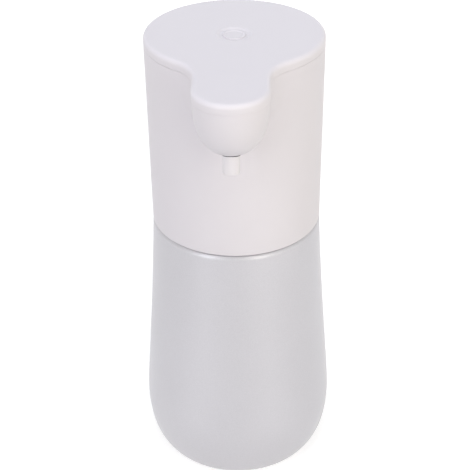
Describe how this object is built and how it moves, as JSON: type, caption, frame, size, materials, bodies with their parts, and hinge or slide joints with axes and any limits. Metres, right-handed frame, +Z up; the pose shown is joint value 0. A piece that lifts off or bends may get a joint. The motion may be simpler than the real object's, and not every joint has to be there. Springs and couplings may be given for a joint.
{
  "type": "automatic soap dispenser",
  "caption": "Free-standing touchless soap dispenser: a flared pearl-silver bottle under a white screw-on pump head with a domed spout, a short nozzle and a top button.",
  "frame": {"origin": "centre of the foot pad's flat underside, on the axis of the bottle and of the head's screw thread", "axes": "+Z up along the bottle's axis, -Y out along the spout over the user's hand, +X to the right seen from the front"},
  "size_m": [0.0894, 0.1139, 0.213],
  "materials": {
    "white_shell": "white moulded plastic with a soft satin gloss",
    "white_lid": "white moulded plastic, satin, very slightly cool",
    "pearl_silver": "pearl-silver pigmented plastic, satin, with a soft metallic sheen",
    "black_rubber": "matt black rubber or foam",
    "clear_silicone": "milky silicone",
    "grey_plastic": "dark grey moulded plastic",
    "nylon": "natural nylon",
    "screw_steel": "bright plated steel",
    "motor_metal": "plated motor can",
    "terminal_brass": "bare brass",
    "board_green": "green solder mask",
    "cell_wrap": "blue shrink wrap",
    "dark_lens": "near-black infrared window plastic",
    "black_sheath": "black lead sheath"
  },
  "bodies": {
    "bottle": {"bottle": "pearl_silver", "foot_pad": "black_rubber"},
    "gasket": {"neck_gasket": "clear_silicone"},
    "head": {"chassis": "grey_plastic", "housing": "white_shell", "housing_screw_1": "screw_steel", "housing_screw_2": "screw_steel", "housing_screw_3": "screw_steel", "top_cover": "white_lid", "tact_switch": "grey_plastic", "main_board": "board_green", "board_screw_1": "screw_steel", "board_screw_2": "screw_steel", "board_screw_3": "screw_steel", "pump_body": "nylon", "pump_gasket": "black_rubber", "pump_cover": "nylon", "pump_screw_1": "screw_steel", "pump_screw_2": "screw_steel", "pump_screw_3": "screw_steel", "shaft_seal": "black_rubber", "inlet_seal": "black_rubber", "idler_pin": "screw_steel", "motor_can": "motor_metal", "motor_end_cap": "grey_plastic", "motor_terminal_front": "terminal_brass", "motor_terminal_rear": "terminal_brass", "motor_screw_1": "screw_steel", "motor_screw_2": "screw_steel", "battery_cell": "cell_wrap", "battery_pad": "black_rubber", "charge_board": "board_green", "charge_screw_left": "screw_steel", "charge_screw_right": "screw_steel", "charge_socket": "screw_steel", "dip_tube": "clear_silicone", "strainer": "nylon", "outlet_tube": "clear_silicone", "nozzle": "white_shell", "nozzle_ring": "black_rubber", "sensor_window": "dark_lens", "sensor_board": "board_green", "sensor_screw_left": "screw_steel", "sensor_screw_right": "screw_steel", "ir_emitter": "clear_silicone", "ir_receiver": "dark_lens", "motor_lead": "black_sheath", "battery_lead": "black_sheath", "charge_lead": "black_sheath", "sensor_lead": "black_sheath"},
    "button": {"power_button": "white_lid", "switch_plunger": "black_rubber"},
    "pump_drive": {"drive_gear": "nylon", "motor_shaft": "screw_steel"},
    "pump_idler": {"idler_gear": "nylon"},
    "plug": {"port_plug": "white_shell"}
  },
  "joints": [
    {"name": "head_rise", "type": "slide", "parent": "bottle", "child": "gasket", "axis": [0, 0, 1], "range_m": [0, 0.00505]},
    {"name": "head_turn", "type": "hinge", "parent": "gasket", "child": "head", "pos_m": [0, 0, 0.13], "axis": [0, 0, 1], "range_deg": [0, 450]},
    {"name": "button_press", "type": "slide", "parent": "head", "child": "button", "axis": [0, 0, -1], "range_m": [0, 0.0005], "stiffness_N_per_m": 1500, "springref_m": -0.0005},
    {"name": "pump_drive_spin", "type": "hinge", "parent": "head", "child": "pump_drive", "pos_m": [-0.012, -0.004, 0.152], "axis": [0, 0, 1], "continuous": true},
    {"name": "pump_idler_spin", "type": "hinge", "parent": "head", "child": "pump_idler", "pos_m": [-0.0019, -0.004, 0.152], "axis": [0, 0, 1], "continuous": true},
    {"name": "plug_pull", "type": "slide", "parent": "head", "child": "plug", "axis": [0, 1, 0], "range_m": [0, 0.008]}
  ],
  "couplings": [
    {"joint": "head_rise", "follows": "head_turn", "m_per_rad": 0.00063662},
    {"joint": "pump_idler_spin", "follows": "pump_drive_spin", "ratio": -1}
  ]
}
